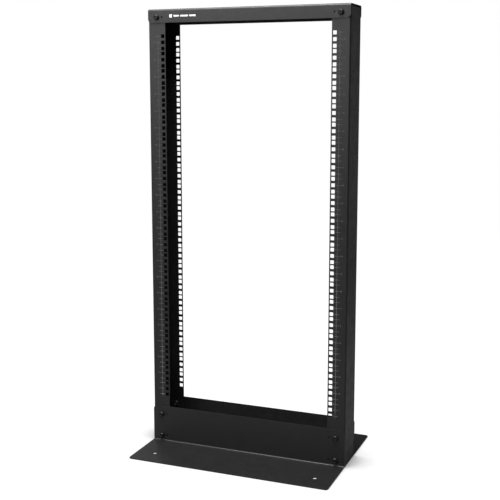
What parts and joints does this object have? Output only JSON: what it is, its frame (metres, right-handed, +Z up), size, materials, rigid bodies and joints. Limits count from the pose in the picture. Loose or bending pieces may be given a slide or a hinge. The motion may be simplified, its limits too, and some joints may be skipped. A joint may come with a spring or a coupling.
{
  "type": "two-post rack frame",
  "caption": "Open floor-standing rack frame: two channel posts with square equipment holes, a top bar and two long base angles, bolted together.",
  "frame": {"origin": "on the floor, midway between the posts and midway from the front foot's edge to the rear foot's", "axes": "+X across the rack to the right as seen from the front, +Y to the back, +Z up"},
  "size_m": [0.546, 0.39, 1.1679],
  "materials": {
    "powder_coat": "black powder coat, fine texture, satin to matte, on folded steel sheet",
    "black_steel": "black zinc or black oxide on steel fasteners, satin"
  },
  "bodies": {
    "root": {"left_post": "powder_coat", "right_post": "powder_coat", "top_bar": "powder_coat", "front_base_angle": "powder_coat", "rear_base_angle": "powder_coat", "front_left_top_bolt": "black_steel", "front_left_top_washer": "black_steel", "front_left_top_nut": "black_steel", "front_left_base_upper_bolt": "black_steel", "front_left_base_upper_washer": "black_steel", "front_left_base_upper_nut": "black_steel", "front_left_base_lower_bolt": "black_steel", "front_left_base_lower_washer": "black_steel", "front_left_base_lower_nut": "black_steel", "front_right_top_bolt": "black_steel", "front_right_top_washer": "black_steel", "front_right_top_nut": "black_steel", "front_right_base_upper_bolt": "black_steel", "front_right_base_upper_washer": "black_steel", "front_right_base_upper_nut": "black_steel", "front_right_base_lower_bolt": "black_steel", "front_right_base_lower_washer": "black_steel", "front_right_base_lower_nut": "black_steel", "rear_left_top_bolt": "black_steel", "rear_left_top_washer": "black_steel", "rear_left_top_nut": "black_steel", "rear_left_base_upper_bolt": "black_steel", "rear_left_base_upper_washer": "black_steel", "rear_left_base_upper_nut": "black_steel", "rear_left_base_lower_bolt": "black_steel", "rear_left_base_lower_washer": "black_steel", "rear_left_base_lower_nut": "black_steel", "rear_right_top_bolt": "black_steel", "rear_right_top_washer": "black_steel", "rear_right_top_nut": "black_steel", "rear_right_base_upper_bolt": "black_steel", "rear_right_base_upper_washer": "black_steel", "rear_right_base_upper_nut": "black_steel", "rear_right_base_lower_bolt": "black_steel", "rear_right_base_lower_washer": "black_steel", "rear_right_base_lower_nut": "black_steel"}
  },
  "joints": []
}
